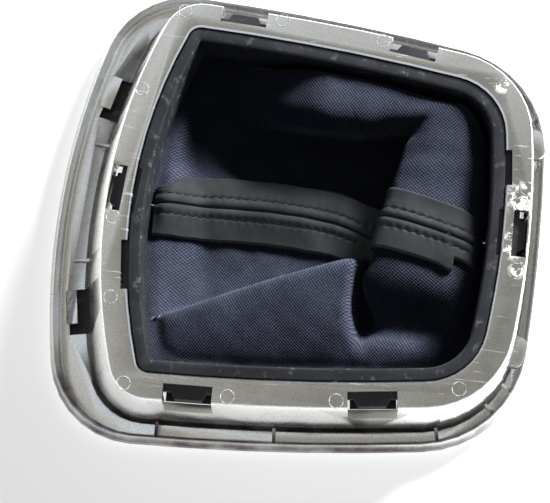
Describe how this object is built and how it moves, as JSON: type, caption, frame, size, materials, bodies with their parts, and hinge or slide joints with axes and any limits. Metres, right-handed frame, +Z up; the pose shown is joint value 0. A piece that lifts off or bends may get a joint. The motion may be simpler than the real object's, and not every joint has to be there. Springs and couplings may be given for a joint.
{
  "type": "gear lever gaiter",
  "caption": "Plated gear lever bezel lying face down, its snap-in frame holding a sewn leather gaiter whose woven backing and seam strips lie folded inside.",
  "frame": {"origin": "centre of the part's box, on the table it lies on", "axes": "+Z up from the face that shows in the car to the collar's rim, +X along the bezel to its narrow end"},
  "size_m": [0.1494, 0.1452, 0.0226],
  "materials": {
    "plated_bezel": "bright plating on moulded plastic, scuffed along the rim",
    "frame_plastic": "black moulded plastic with a soft sheen",
    "backing_cloth": "navy woven backing of the leather",
    "seam_leather": "dark grey grained leather strip with two rows of stitches"
  },
  "bodies": {
    "root": {"bezel": "plated_bezel", "retaining_frame": "frame_plastic", "gaiter_panel_rear": "backing_cloth", "gaiter_panel_front": "backing_cloth", "seam_strip_left": "seam_leather", "seam_strip_right": "seam_leather"}
  },
  "joints": []
}
